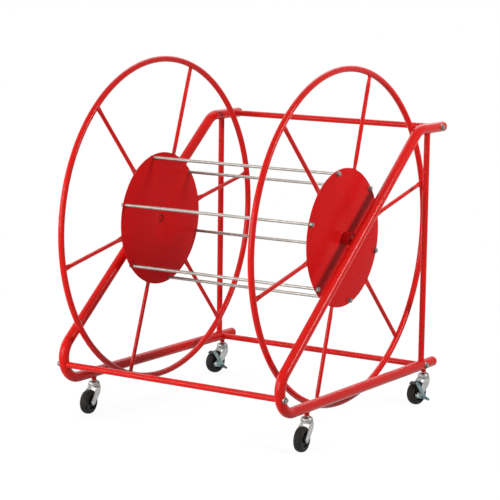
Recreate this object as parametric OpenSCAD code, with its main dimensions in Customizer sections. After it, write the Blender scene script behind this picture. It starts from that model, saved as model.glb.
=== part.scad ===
// Wheeled stand with a free-running reel for hose, rope or cable. Millimetres, +Z up.
// The origin is on the floor, straight below the middle of the reel's axis.
// X runs along the reel's axis, -Y is the sloping front, +Y the upright rear.

/* [Reel] */
// Diameter of a flange ring, on the centre line of its tube
ring_d = 1000; // [900:10:1030]
// Outside diameter of the flange ring tube
ring_tube_d = 19.1; // [16:0.1:24]
// Wall of the flange ring tube
ring_wall = 1.6; // [1:0.1:2.5]
// Distance between the two flanges, plate middle to plate middle
flange_spacing = 666; // [500:5:800]
// Diameter of the centre plate of a flange
disc_d = 416; // [380:2:460]
// Thickness of the centre plate
disc_t = 3; // [2:0.5:5]
// Hole in the middle of the centre plate
disc_hole_d = 24; // [20:0.5:30]
// Spokes in each flange
spoke_count = 6; // [4:1:8]
// Outside diameter of a spoke tube
spoke_d = 12.7; // [10:0.1:15]
// Wall of a spoke tube
spoke_wall = 1.2; // [0.8:0.1:2]
// Width of a spoke's crushed end
crush_w = 18; // [16:0.5:22]
// Thickness of a spoke's crushed end
crush_t = 3; // [2.4:0.2:5]
// Length over which a spoke tube changes from round to flat
crush_l = 24; // [14:1:40]
// Angle of the left flange's first spoke above the rear
left_phase = 11.4; // [0:0.1:30]
// Angle of the right flange's first spoke above the rear
right_phase = 13.8; // [0:0.1:30]

/* [Tie rods] */
// Tie rods between the flanges
rod_count = 6; // [4:1:8]
// Diameter of a tie rod
rod_d = 9.5; // [9:0.1:12]
// Diameter of the circle of tie rods
rod_circle_d = 398; // [340:2:398]
// Thread diameter at a tie rod's ends
rod_thread_d = 8; // [6:0.5:8.5]
// Angle of the first tie rod above the rear
rod_phase = 42; // [30:0.1:60]

/* [Hub and axle pin] */
// Outside diameter of a hub tube
hub_d = 38; // [34:0.5:44]
// Length of a hub tube outside its plate
hub_l = 29; // [24:0.5:45]
// Diameter of the fixed axle pin
pin_d = 16; // [13:0.5:17]
// Thickness of the bush flange
bush_flange_t = 2; // [1.5:0.1:4]
// Thickness of the thrust washer
thrust_t = 2; // [1.5:0.1:4]
// Collar of the axle pin, clear of the side tube
collar_t = 1.8; // [1.5:0.1:6]
// Outside diameter of thrust washer and bush flange
thrust_d = 34; // [30:0.5:40]

/* [Side frames] */
// Outside diameter of the side frame tube
rail_d = 31.8; // [28:0.1:36]
// Wall of the side frame tube
rail_wall = 2; // [1.5:0.1:3]
// Bend radius of the side frame tube, on its centre line
bend_r = 69; // [60:1:80]
// Slope of the diagonal
diagonal_angle = 39.8; // [39:0.1:42]
// Height of the reel's axis above the base tube
axle_rise = 453.5; // [450:0.5:500]
// Height of the top tube above the base tube
stub_rise = 751; // [740:1:800]
// Rear end of the base tube, cap included, behind the axle
base_end_y = 495; // [475:1:520]
// Rear end of the top tube, plug included, behind the axle
stub_end_y = 517; // [510:1:545]
// Middle of the upright post behind the axle
post_y = 414; // [400:1:418]
// Outside diameter of posts and cross tubes
post_d = 19.1; // [16:0.1:24]
// Wall of posts and cross tubes
post_wall = 1.6; // [1:0.1:2.5]

/* [Cross tubes and bolts] */
// Angle below level at which the front cross tube meets the front bend
front_cross_angle = 16; // [0:1:40]
// Place of the low rear cross tube behind the axle
rear_cross_y = 420; // [400:1:421]
// Place of the top cross tube behind the axle
top_cross_y = 483; // [460:1:487]
// Diameter of the frame bolts
bolt_d = 8; // [6:0.5:10]
// Width across the flats of bolt heads and nuts
hex_af = 13; // [12:0.5:15]
// Height of a frame bolt's head
bolt_head_h = 5.3; // [4:0.1:8]
// Diameter of the saddle washers
saddle_d = 20; // [18:0.5:26]
// Thickness of a saddle washer at its middle
saddle_t = 2.5; // [1.5:0.1:4]

/* [Casters] */
// Wheel diameter
wheel_d = 75; // [65:1:85]
// Width of the tyre
tyre_w = 26; // [18:0.5:30]
// Thickness of the tyre
tyre_t = 11; // [8:0.5:14]
// Height from the floor to the foot of a caster socket
caster_h = 100; // [98:0.5:125]
// Distance of the wheel's axle from the swivel axis
trail = 32; // [25:0.5:36]
// Outside diameter of a caster socket
socket_d = 15; // [14.5:0.5:20]
// Length of a caster socket below the base tube
socket_h = 9.1; // [6:0.1:20]
// Thread diameter of a caster stem
stem_d = 12; // [8:0.5:12]
// Place of the front casters before the axle
front_caster_y = -275; // [-300:1:-200]
// Place of the rear casters behind the axle
rear_caster_y = 433; // [432:1:450]
// Turn of the front casters at rest
front_turn = 7; // [-30:0.1:30]
// Turn of the rear casters at rest
rear_turn = -12; // [-30:0.1:30]
// Sheet thickness of the fork
fork_t = 2.5; // [2:0.1:4]
// Diameter of the wheel axle bolt
axle_d = 8; // [6:0.5:10]

/* [Brake] */
// Gap between brake shoe and tread when the brake is off
shoe_gap = 2.8; // [1.5:0.1:5]
// Thickness of the brake lever
lever_t = 2; // [1.5:0.1:3]
// Length of the brake pedal
pedal_l = 21; // [15:1:30]
// Slope of the brake pedal
pedal_slope = 25; // [10:1:40]

/* [Hidden] */
$fn = 96;
eps = 0.01;
running = 0.05;      // radial clearance of a turning fit
end_play = 0.3;      // gap beside a turning piece
slip = 0.2;          // radial clearance of a bolt in its hole
seat = 0.1;          // gap under a weld or round a spigot

rail_r = rail_d / 2;
ring_r = ring_d / 2;
disc_r = disc_d / 2;
base_z = caster_h + socket_h + rail_r;
axle_z = base_z + axle_rise;
stub_z = base_z + stub_rise;
flange_x = flange_spacing / 2;
disc_inner_x = flange_x - disc_t / 2;
disc_outer_x = flange_x + disc_t / 2;
hub_end_x = disc_outer_x + hub_l;
thrust_x = hub_end_x + bush_flange_t + end_play;
collar_x = thrust_x + thrust_t;
rail_x = collar_x + collar_t + rail_r;

// Corners of the side frame, where the centre lines of its straight runs cross
front_corner_y = -axle_rise / tan(diagonal_angle);
top_corner_y = (stub_rise - axle_rise) / tan(diagonal_angle);
front_bend_y = front_corner_y + bend_r / tan(diagonal_angle / 2);
front_bend_z = base_z + bend_r;
top_bend_y = top_corner_y + bend_r * tan(diagonal_angle / 2);
top_bend_z = stub_z - bend_r;

bend_draw = 0.1;                     // a tube is this much slimmer where it is bent
bend_lap = 1.5;                      // overlap of a straight run and its bend
cap_t = 5;
plug_t = 3;
collar_lip = 4;                      // step from the axle pin to its collar
spigot_l = 15;
front_cross_y = front_bend_y - bend_r * cos(front_cross_angle);
front_cross_z = front_bend_z - bend_r * sin(front_cross_angle);
cross_places = [[front_cross_y, front_cross_z], [rear_cross_y, base_z], [top_cross_y, stub_z]];
cross_end_x = rail_x - rail_r * cos(asin(post_d / rail_d)) + 1;
insert_l = 28;
insert_x = rail_x - rail_r - 5;      // outer face of a threaded insert
bolt_seat_x = rail_x + rail_r + saddle_t;

crush_tail = 6;                      // flat tail of a spoke's crushed end
vent_d = 3;                          // weld vent of a closed tube
rod_washer_t = 1.5;
rod_washer_d = 16;
nut_h = 6.5;
thread_past_nut = 2;

wheel_r = wheel_d / 2;
core_r = wheel_r - tyre_t;
tread_round = 5;
fork_gap = tyre_w / 2 + 2.1;         // middle of the wheel to the inside of a leg
fork_outer = fork_gap + fork_t;
crown_half = 18;                     // half the length of the fork's crown
leg_r = 9.5;                         // round foot of a fork leg
kingpin_r = 5;
kingpin_head_t = 2.2;
ball_d = 4.76;
ball_circle_r = 11.8;
ball_count = 12;
ball_z = caster_h - 12.8;
ball_half_gap = 1.2;                 // from the balls' middle to either race
race_r = 14.5;
race_foot_z = ball_z - 4.7;          // top of the fork's crown
crown_z = race_foot_z - fork_t;
cup_r = 16.5;
cup_round = 8;
cup_rim_z = race_foot_z + 1.7;
stem_top_z = base_z - 3;
axle_head_t = 2.3;
axle_nut_h = 5;
axle_nut_x = -fork_outer - axle_nut_h;

ear_r = 6.5;
lever_x = fork_outer + axle_head_t + end_play;
lever_r = 7;
brake_pivot = [-trail - 18, wheel_r - 3];
brake_root = [-trail + 13, wheel_r - 10];
brake_pin_r = 3;
brake_head_r = 5.5;
shoe_angle = 121;                    // place of the shoe round the wheel, from the rear
shoe_spread = 18;
shoe_t = 2.2;
shoe_r = wheel_r + shoe_gap;
shoe = [-trail, wheel_r] + (shoe_r + shoe_t / 2) * [cos(shoe_angle), sin(shoe_angle)];

FRONT_LEFT = [-1, front_caster_y, front_turn];
FRONT_RIGHT = [1, front_caster_y, front_turn];
REAR_LEFT = [-1, rear_caster_y, rear_turn];
REAR_RIGHT = [1, rear_caster_y, rear_turn];
CASTERS = [FRONT_LEFT, FRONT_RIGHT, REAR_LEFT, REAR_RIGHT];

red = [0.80, 0.07, 0.05];
zinc = [0.74, 0.75, 0.75];
blue_zinc = [0.60, 0.68, 0.72];
black = [0.06, 0.06, 0.06];

// ---- helpers ----

// Draws a sketch of (rear, up) points and pushes it out towards +X
module along_x(length) rotate([90, 0, 90]) linear_extrude(length) children();

// Turns a profile of (radius, length) points about the X axis, length towards +X
module turned_x() rotate([0, 90, 0]) rotate_extrude() children();

// A round bar along +X
module bar_x(r, length) rotate([0, 90, 0]) cylinder(r = r, h = length);

// What is drawn at the right, at both sides
module both_sides() {
    children();
    mirror([1, 0, 0]) children();
}

// A rounded bar in a sketch, between circles at p and q, with its true tangents
module link(p, p_r, q, q_r) {
    d = q - p;
    along = d / norm(d);
    across = [-along[1], along[0]];
    lean = asin((p_r - q_r) / norm(d));
    left = sin(lean) * along + cos(lean) * across;
    right = sin(lean) * along - cos(lean) * across;
    translate(p) circle(p_r);
    translate(q) circle(q_r);
    polygon([p + p_r * right, q + q_r * right, q + q_r * left, p + p_r * left]);
}

// A hexagon head or nut along +X, its outer corners turned off
module hex_x(height) intersection() {
    rotate([0, 90, 0]) cylinder(d = hex_af / cos(30), h = height, $fn = 6);
    turned_x() polygon([[0, 0], [hex_af, 0], [hex_af, height - hex_af * 0.43], [hex_af * 0.43, height],
        [0, height]]);
}

// Half profile of an end cap: a flat rim under a low dome
module dome(r, height) {
    rise = height * 0.6;
    ball_r = (r * r + rise * rise) / (2 * rise);
    square([r, height - rise]);
    intersection() {
        translate([0, height - ball_r]) circle(ball_r, $fn = 360);
        translate([0, height - rise]) square([r, rise]);
    }
}

// ---- side frames ----

// Puts what is drawn in (rear, up) at the right-hand side tube's plane
module on_side() translate([rail_x, 0, 0]) rotate([90, 0, 90]) children();

module straight(p, q, r, extra = 0)
    translate(p) rotate(atan2(q[1] - p[1], q[0] - p[0])) rotate([0, 90, 0])
        translate([0, 0, -bend_lap]) cylinder(r = r, h = norm(q - p) + bend_lap + extra);

module bend(centre, r, from, sweep) translate(centre) rotate(from)
    rotate_extrude(angle = sweep) translate([bend_r, 0]) circle(r - bend_draw);

module front_bend(r)
    bend([front_bend_y, front_bend_z], r, 90 + diagonal_angle, 180 - diagonal_angle);

// The whole run of the bent tube; extra lengthens its two open ends
module side_run(r, extra = 0) {
    square_on = bend_r * [-sin(diagonal_angle), cos(diagonal_angle)];
    straight([front_bend_y, base_z], [base_end_y - cap_t, base_z], r, extra);
    front_bend(r);
    straight([front_bend_y, front_bend_z] + square_on, [top_bend_y, top_bend_z] + square_on, r,
        bend_lap);
    bend([top_bend_y, top_bend_z], r, 90, diagonal_angle);
    straight([top_bend_y, stub_z], [stub_end_y - plug_t, stub_z], r, extra);
}

module side_tube() color(red) difference() {
    on_side() difference() {
        side_run(rail_r);
        side_run(rail_r - rail_wall, 1);
    }
    for (place = cross_places) translate([rail_x - rail_d, place[0], place[1]])
        bar_x(bolt_d / 2 + slip, 2 * rail_d);
    translate([rail_x - rail_d, 0, axle_z]) bar_x(pin_d / 2, rail_d);
    for (y = [front_caster_y, rear_caster_y]) translate([rail_x, y, base_z - rail_d])
        cylinder(d = socket_d, h = rail_d);
}

module post() color(red) difference() {
    translate([rail_x, post_y, base_z]) cylinder(d = post_d, h = stub_rise);
    translate([rail_x, post_y, base_z]) cylinder(d = post_d - 2 * post_wall, h = stub_rise);
    on_side() side_run(rail_r + seat);
}

module base_end_caps() color(red) both_sides()
    translate([rail_x, base_end_y - cap_t, base_z]) rotate([-90, 0, 0]) rotate_extrude() {
        dome(rail_r, cap_t);
        translate([0, -spigot_l]) square([rail_r - rail_wall - seat, spigot_l + eps]);
    }

module stub_end_plugs() color(black) both_sides()
    translate([rail_x, stub_end_y - plug_t, stub_z]) rotate([-90, 0, 0]) rotate_extrude() {
        dome(rail_r, plug_t);
        translate([0, -spigot_l]) square([rail_r - rail_wall - 1, spigot_l + eps]);
        for (rib = [1 : 3]) translate([0, -rib * spigot_l / 3.5])
            square([rail_r - rail_wall - seat, 1.5]);
    }

// ---- cross tubes and their bolts ----

// Envelope of a level run of the side tube
module level_rail(z, r) translate([rail_x, 0, z]) rotate([90, 0, 0])
    cylinder(r = r, h = 3 * ring_r, center = true);

// A tube from side to side, notched to what its child draws at the right
module cross_tube(place) color(red) difference() {
    translate([-cross_end_x, place[0], place[1]]) bar_x(post_d / 2, 2 * cross_end_x);
    translate([-rail_x, place[0], place[1]]) bar_x(post_d / 2 - post_wall, 2 * rail_x);
    both_sides() children();
}

module front_cross_tube() cross_tube(cross_places[0]) on_side() front_bend(rail_r + seat);

module rear_cross_tube() cross_tube(cross_places[1]) level_rail(base_z, rail_r + seat);

module top_cross_tube() cross_tube(cross_places[2]) level_rail(stub_z, rail_r + seat);

module cross_tube_inserts() color(zinc) both_sides() for (place = cross_places)
    translate([insert_x - insert_l, place[0], place[1]]) difference() {
        bar_x(post_d / 2 - post_wall, insert_l);
        translate([-1, 0, 0]) bar_x(bolt_d / 2, insert_l + 2);
    }

// A round washer hollowed underneath to sit on the tube that its child draws
module saddle(place) difference() {
    translate([rail_x, place[0], place[1]]) bar_x(saddle_d / 2, rail_r + saddle_t);
    translate([rail_x, place[0], place[1]]) bar_x(bolt_d / 2 + slip, rail_d);
    children();
}

module saddle_washers() color(zinc) both_sides() {
    saddle(cross_places[0]) on_side() front_bend(rail_r + seat);
    saddle(cross_places[1]) level_rail(base_z, rail_r + seat);
    saddle(cross_places[2]) level_rail(stub_z, rail_r + seat);
}

module frame_bolts() color(zinc) both_sides() for (place = cross_places) {
    translate([bolt_seat_x, place[0], place[1]]) hex_x(bolt_head_h);
    translate([insert_x - insert_l + 4, place[0], place[1]])
        bar_x(bolt_d / 2, bolt_seat_x + 1 - insert_x + insert_l - 4);
}

// ---- axle pins, hubs and bushes ----

module axle_pin() color(zinc) translate([0, 0, axle_z]) {
    bore_r = rail_r - rail_wall;
    pin_end_x = rail_x + sqrt(bore_r * bore_r - pin_d * pin_d / 4) - 2 * seat;
    translate([flange_x, 0, 0]) bar_x(pin_d / 2, pin_end_x - flange_x);
    difference() {
        translate([collar_x, 0, 0]) bar_x(pin_d / 2 + collar_lip, rail_r);
        translate([rail_x, 0, 0]) rotate([diagonal_angle - 90, 0, 0])
            cylinder(r = rail_r + seat, h = 4 * rail_r, center = true);
    }
}

module thrust_washers() color(zinc) both_sides() translate([thrust_x, 0, axle_z]) difference() {
    bar_x(thrust_d / 2, thrust_t);
    translate([-1, 0, 0]) bar_x(pin_d / 2 + slip, thrust_t + 2);
}

module hub() color(red) translate([disc_outer_x, 0, axle_z]) difference() {
    bar_x(hub_d / 2, hub_l);
    translate([-1, 0, 0]) bar_x(disc_hole_d / 2, hub_l + 2);
}

module hub_bushes() color(black) both_sides() translate([disc_outer_x, 0, axle_z]) difference() {
    union() {
        bar_x(disc_hole_d / 2, hub_l);
        translate([hub_l, 0, 0]) bar_x(thrust_d / 2, bush_flange_t);
    }
    translate([-1, 0, 0]) bar_x(pin_d / 2 + running, hub_l + bush_flange_t + 2);
}

// ---- reel ----

// Puts what is drawn in (rear, up) about the reel's axis at the right-hand flange
module on_flange() translate([flange_x, 0, axle_z]) rotate([90, 0, 90]) children();

// A closed hoop of tube, with the small vent that such a weldment needs
module ring() color(red) on_flange() difference() {
    rotate_extrude() translate([ring_r, 0]) difference() {
        circle(d = ring_tube_d);
        circle(d = ring_tube_d - 2 * ring_wall);
    }
    rotate(rod_phase) translate([ring_r - ring_tube_d, 0, 0]) bar_x(vent_d / 2, ring_tube_d);
}

module disc() color(red) on_flange() translate([0, 0, -disc_t / 2]) linear_extrude(disc_t)
    difference() {
        circle(disc_r, $fn = 360);
        circle(d = disc_hole_d);
        for (k = [0 : rod_count - 1]) rotate(rod_phase + k * 360 / rod_count)
            translate([rod_circle_d / 2, 0]) circle(d = rod_thread_d + 2 * seat);
    }

// Outline of one crushed tube end, half height "from" at the origin and "to" at its tip
module pressed(from, to, steps = 6) {
    half = [for (i = [0 : steps]) let (t = i / steps)
        [t * crush_l, from + (to - from) * t * t * (3 - 2 * t)]];
    tip = crush_l + crush_tail;
    back = [for (i = [steps : -1 : 0]) [half[i][0], -half[i][1]]];
    polygon(concat(half, [[tip, to], [tip, -to]], back));
}

// One crushed tube end: round at the origin, a wide flat towards +X
module crushed_end() {
    intersection() {
        translate([-1, 0, 0]) bar_x(spoke_d / 2, crush_l + crush_tail + 1);
        rotate([90, 0, 0]) linear_extrude(2 * spoke_d, center = true)
            pressed(spoke_d / 2 + seat, crush_t / 2);
    }
    linear_extrude(crush_t, center = true) pressed(spoke_d / 2 - 1.5, crush_w / 2);
}

module spoke() {
    inner_x = disc_r + crush_tail + crush_l;
    outer_x = ring_r - ring_tube_d / 2 - crush_tail - crush_l;
    difference() {
        union() {
            translate([inner_x, 0, 0]) bar_x(spoke_d / 2, outer_x - inner_x);
            translate([inner_x, 0, 0]) rotate(180) crushed_end();
            translate([outer_x, 0, 0]) crushed_end();
        }
        translate([inner_x + 4, 0, 0]) bar_x(spoke_d / 2 - spoke_wall, outer_x - inner_x - 8);
        translate([inner_x + 12, 0, -spoke_d]) cylinder(d = vent_d, h = spoke_d);
        cylinder(r = disc_r + seat, h = 3 * spoke_d, center = true, $fn = 360);
        rotate_extrude() translate([ring_r, 0]) circle(d = ring_tube_d + 2 * seat);
    }
}

module spokes(phase) color(red) on_flange() for (k = [0 : spoke_count - 1])
    rotate(phase + k * 360 / spoke_count) spoke();

// Repeats what is drawn on the reel's axis at each tie rod
module at_rods() for (k = [0 : rod_count - 1]) let (a = rod_phase + k * 360 / rod_count)
    translate([0, rod_circle_d / 2 * cos(a), axle_z + rod_circle_d / 2 * sin(a)]) children();

module tie_rods() color(zinc) at_rods() {
    end_x = disc_outer_x + rod_washer_t + nut_h + thread_past_nut;
    translate([-disc_inner_x, 0, 0]) bar_x(rod_d / 2, 2 * disc_inner_x);
    translate([-end_x, 0, 0]) bar_x(rod_thread_d / 2, 2 * end_x);
}

module rod_washers() color(zinc) both_sides() at_rods() translate([disc_outer_x, 0, 0]) difference() {
    bar_x(rod_washer_d / 2, rod_washer_t);
    translate([-1, 0, 0]) bar_x(rod_thread_d / 2 + slip, rod_washer_t + 2);
}

module rod_nuts() color(zinc) both_sides() at_rods()
    translate([disc_outer_x + rod_washer_t, 0, 0]) difference() {
        hex_x(nut_h);
        translate([-1, 0, 0]) bar_x(rod_thread_d / 2, nut_h + 2);
    }

// ---- casters, drawn with the swivel axis on Z, the floor at 0 and the wheel towards -Y ----

module on_caster(caster)
    translate([caster[0] * rail_x, caster[1], 0]) rotate(caster[2]) children();

module at_axle() translate([0, -trail, wheel_r]) children();

module caster_sockets() color(red) for (caster = CASTERS) on_caster(caster) difference() {
    translate([0, 0, caster_h]) cylinder(d = socket_d, h = base_z - caster_h);
    translate([0, 0, caster_h - 1]) cylinder(d = stem_d, h = stem_top_z - caster_h + 1);
}

module ball_groove() translate([ball_circle_r, ball_z]) circle(ball_d / 2 + running);

module swivel_balls() color(zinc) for (caster = CASTERS) on_caster(caster)
    for (k = [0 : ball_count - 1]) rotate(k * 360 / ball_count)
        translate([ball_circle_r, 0, ball_z]) sphere(d = ball_d, $fn = 24);

// Threaded stem, bearing cup and kingpin of one turned and riveted piece
module stem() color(zinc) rotate_extrude() {
    neck_r = cup_r - cup_round;
    shoulder_z = caster_h - cup_round - 2;
    head_z = crown_z - end_play - kingpin_head_t;
    translate([0, caster_h - eps]) square([stem_d / 2, stem_top_z - caster_h + eps]);
    difference() {
        union() {
            translate([0, cup_rim_z]) square([cup_r, shoulder_z - cup_rim_z]);
            translate([0, cup_rim_z]) square([neck_r, caster_h - cup_rim_z]);
            intersection() {
                translate([neck_r, shoulder_z]) circle(cup_round);
                translate([0, cup_rim_z]) square([cup_r + 1, caster_h - cup_rim_z]);
            }
        }
        translate([0, cup_rim_z - 1]) square([race_r + 0.7, ball_z + ball_half_gap - cup_rim_z + 1]);
        ball_groove();
    }
    translate([0, head_z]) square([kingpin_r, ball_z + ball_half_gap - head_z + eps]);
    translate([0, head_z]) square([kingpin_r + 3.5, kingpin_head_t]);
}

// Outline of a round-cornered arch, open at its foot
module arch(half, top, round_r) {
    translate([-half, 0]) square([2 * half, top - round_r]);
    translate([round_r - half, 0]) square([2 * (half - round_r), top]);
    for (side = [-1, 1]) translate([side * (half - round_r), top - round_r]) circle(round_r);
}

module fork_side() {
    axle = [-trail, wheel_r];
    corner_r = 5;
    front = [corner_r - crown_half, race_foot_z + 1];
    rear = [crown_half - corner_r, race_foot_z + 1];
    link(axle, leg_r, front, corner_r);
    link(axle, leg_r, rear, corner_r);
    polygon([axle, rear, front]);
}

module fork(brake = false) color(zinc) difference() {
    union() {
        intersection() {
            translate([-2 * fork_outer, 0, 0]) along_x(4 * fork_outer) fork_side();
            rotate([90, 0, 0]) linear_extrude(8 * crown_half, center = true) difference() {
                arch(fork_outer, race_foot_z, fork_t + 3);
                translate([0, -1]) arch(fork_gap, crown_z + 1, 3);
            }
        }
        rotate_extrude() difference() {
            translate([0, race_foot_z - 2]) square([race_r, ball_z - ball_half_gap - race_foot_z + 2]);
            ball_groove();
        }
        if (brake) translate([fork_gap, 0, 0]) along_x(fork_t)
            link([-trail, wheel_r], leg_r, brake_pivot, ear_r);
    }
    translate([0, 0, crown_z - 1]) cylinder(r = kingpin_r + running, h = ball_z - crown_z);
    at_axle() translate([-2 * fork_outer, 0, 0]) bar_x(axle_d / 2, 4 * fork_outer);
    if (brake) translate([fork_gap - 1, brake_pivot[0], brake_pivot[1]])
        bar_x(brake_pin_r, fork_t + 2);
}

module axle_bolt() color(zinc) at_axle() {
    translate([axle_nut_x - 1.5, 0, 0]) bar_x(axle_d / 2, fork_outer - axle_nut_x + 1.5);
    translate([fork_outer, 0, 0]) turned_x() dome(axle_d / 2 + 2.5, axle_head_t);
}

module axle_nut() color(zinc) at_axle() difference() {
    translate([-fork_outer, 0, 0]) mirror([1, 0, 0]) hex_x(axle_nut_h);
    translate([axle_nut_x - 1, 0, 0]) bar_x(axle_d / 2, axle_nut_h + 2);
}

module wheel_core() color(black) at_axle() turned_x() {
    bore_r = axle_d / 2 + running;
    rim_half = tyre_w / 2 - 1;
    translate([bore_r, end_play - fork_gap]) square([leg_r - bore_r, 2 * (fork_gap - end_play)]);
    translate([bore_r, -4]) square([core_r - bore_r, 8]);
    translate([core_r - 3, -rim_half]) square([3, 2 * rim_half]);
}

module tyre() color(black) at_axle() turned_x() {
    half = tyre_w / 2;
    flat_half = half - tread_round;
    translate([core_r, -half]) square([tyre_t - tread_round, 2 * half]);
    translate([core_r, -flat_half]) square([tyre_t, 2 * flat_half]);
    for (side = [-1, 1]) translate([wheel_r - tread_round, side * flat_half]) circle(tread_round);
}

// ---- wheel brake ----

module brake_shoe() along_x(lever_x + lever_t + tyre_w / 3) translate([-trail, wheel_r])
    intersection() {
        difference() {
            circle(shoe_r + shoe_t, $fn = 180);
            circle(shoe_r, $fn = 180);
        }
        rotate(shoe_angle) polygon([[0, 0], 2 * wheel_r * [cos(shoe_spread / 2), -sin(shoe_spread / 2)],
            2 * wheel_r * [cos(shoe_spread / 2), sin(shoe_spread / 2)]]);
    }

module brake_lever() color(blue_zinc) {
    difference() {
        translate([lever_x, 0, 0]) along_x(lever_t) {
            link(brake_pivot, lever_r, brake_root, lever_r - 1);
            link(shoe, 5.5, brake_root, lever_r - 1);
        }
        translate([lever_x - 1, brake_pivot[0], brake_pivot[1]])
            bar_x(brake_pin_r + running, lever_t + 2);
    }
    translate([-tyre_w / 3, 0, 0]) brake_shoe();
    translate([lever_x, brake_root[0], brake_root[1] - 3]) rotate([0, pedal_slope, 0])
        linear_extrude(lever_t) link([0, 0], lever_r - 1, [pedal_l - 4, 5], 4);
}

module brake_rivet() color(zinc) translate([0, brake_pivot[0], brake_pivot[1]]) {
    head_x = lever_x + lever_t + end_play;
    translate([fork_gap, 0, 0]) bar_x(brake_pin_r, head_x + 1 - fork_gap);
    translate([fork_outer, 0, 0]) bar_x(brake_head_r, lever_x - end_play - fork_outer);
    translate([head_x, 0, 0]) turned_x() dome(brake_head_r, 1.8);
}

mirror([1, 0, 0]) side_tube();  // left_side_tube
side_tube();  // right_side_tube
mirror([1, 0, 0]) post();  // left_post
post();  // right_post
front_cross_tube();
rear_cross_tube();
top_cross_tube();
cross_tube_inserts();
frame_bolts();
saddle_washers();
base_end_caps();
stub_end_plugs();
mirror([1, 0, 0]) axle_pin();  // left_axle_pin
axle_pin();  // right_axle_pin
thrust_washers();
caster_sockets();
swivel_balls();
mirror([1, 0, 0]) ring();  // left_ring
ring();  // right_ring
mirror([1, 0, 0]) spokes(left_phase);  // left_spokes
spokes(right_phase);  // right_spokes
mirror([1, 0, 0]) disc();  // left_disc
disc();  // right_disc
mirror([1, 0, 0]) hub();  // left_hub
hub();  // right_hub
hub_bushes();
tie_rods();
rod_washers();
rod_nuts();
on_caster(FRONT_LEFT) stem();  // front_left_stem
on_caster(FRONT_LEFT) fork();  // front_left_fork
on_caster(FRONT_LEFT) axle_bolt();  // front_left_axle_bolt
on_caster(FRONT_LEFT) axle_nut();  // front_left_axle_nut
on_caster(FRONT_LEFT) wheel_core();  // front_left_wheel_core
on_caster(FRONT_LEFT) tyre();  // front_left_tyre
on_caster(FRONT_RIGHT) stem();  // front_right_stem
on_caster(FRONT_RIGHT) fork();  // front_right_fork
on_caster(FRONT_RIGHT) axle_bolt();  // front_right_axle_bolt
on_caster(FRONT_RIGHT) axle_nut();  // front_right_axle_nut
on_caster(FRONT_RIGHT) wheel_core();  // front_right_wheel_core
on_caster(FRONT_RIGHT) tyre();  // front_right_tyre
on_caster(REAR_LEFT) stem();  // rear_left_stem
on_caster(REAR_LEFT) fork(brake = true);  // rear_left_fork
on_caster(REAR_LEFT) axle_bolt();  // rear_left_axle_bolt
on_caster(REAR_LEFT) axle_nut();  // rear_left_axle_nut
on_caster(REAR_LEFT) wheel_core();  // rear_left_wheel_core
on_caster(REAR_LEFT) tyre();  // rear_left_tyre
on_caster(REAR_LEFT) brake_lever();  // rear_left_brake_lever
on_caster(REAR_LEFT) brake_rivet();  // rear_left_brake_rivet
on_caster(REAR_RIGHT) stem();  // rear_right_stem
on_caster(REAR_RIGHT) fork(brake = true);  // rear_right_fork
on_caster(REAR_RIGHT) axle_bolt();  // rear_right_axle_bolt
on_caster(REAR_RIGHT) axle_nut();  // rear_right_axle_nut
on_caster(REAR_RIGHT) wheel_core();  // rear_right_wheel_core
on_caster(REAR_RIGHT) tyre();  // rear_right_tyre
on_caster(REAR_RIGHT) brake_lever();  // rear_right_brake_lever
on_caster(REAR_RIGHT) brake_rivet();  // rear_right_brake_rivet
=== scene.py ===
import math

import bmesh
import bpy
from mathutils import Matrix, Vector


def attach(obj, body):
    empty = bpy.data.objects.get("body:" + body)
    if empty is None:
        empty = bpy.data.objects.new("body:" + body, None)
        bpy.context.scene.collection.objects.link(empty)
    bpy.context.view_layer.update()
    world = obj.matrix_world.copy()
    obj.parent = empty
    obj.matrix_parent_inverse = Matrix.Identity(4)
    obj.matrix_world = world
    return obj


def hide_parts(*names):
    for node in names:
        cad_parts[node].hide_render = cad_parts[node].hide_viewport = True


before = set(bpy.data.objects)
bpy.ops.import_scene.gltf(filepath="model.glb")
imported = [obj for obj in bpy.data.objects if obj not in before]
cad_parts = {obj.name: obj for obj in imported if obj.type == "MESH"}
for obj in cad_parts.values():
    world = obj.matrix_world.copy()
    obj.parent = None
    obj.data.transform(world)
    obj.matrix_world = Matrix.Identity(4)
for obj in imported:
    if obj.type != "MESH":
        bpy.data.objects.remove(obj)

scene = bpy.context.scene
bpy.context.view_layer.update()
tau = 2 * math.pi

# The stand's own axes: x runs along the reel's axis, -y is the sloping front, z is up.
# All sizes are in metres and all angles in degrees.
frameSizes = {
    "railRadius": 0.0159, "railX": 0.3855, "baseZ": 0.125, "axleZ": 0.5785, "topZ": 0.876,
    "bendRadius": 0.069, "slope": 39.8, "baseEndY": 0.490, "topEndY": 0.514,
    "tubeRadius": 0.00955, "postY": 0.414, "frontCrossDrop": 16, "rearCrossY": 0.420, "topCrossY": 0.483,
}
casters = {
    "front_left": (-1, -0.275, 7), "front_right": (1, -0.275, 7),
    "rear_left": (-1, 0.433, -12), "rear_right": (1, 0.433, -12),
}


# node tools

def setInputs(tree, node, **inputs):
    # inputs go by name, or by number as i0, i1; a node as the value is linked by its first output
    for label, value in inputs.items():
        numbered = label[0] == "i" and label[1:].isdigit()
        socket = node.inputs[int(label[1:]) if numbered else label.replace("_", " ")]
        if isinstance(value, bpy.types.Node):
            value = value.outputs[0]
        if isinstance(value, bpy.types.NodeSocket):
            tree.links.new(value, socket)
        else:
            socket.default_value = value


def addNode(tree, kind, settings=None, **inputs):
    node = tree.nodes.new(kind)
    for key, value in (settings or {}).items():
        setattr(node, key, value)
    setInputs(tree, node, **inputs)
    return node


def calculate(tree, operation, *values):
    inputs = {f"i{k}": value for k, value in enumerate(values)}
    return addNode(tree, "ShaderNodeMath", {"operation": operation}, **inputs)


# finishes

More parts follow.
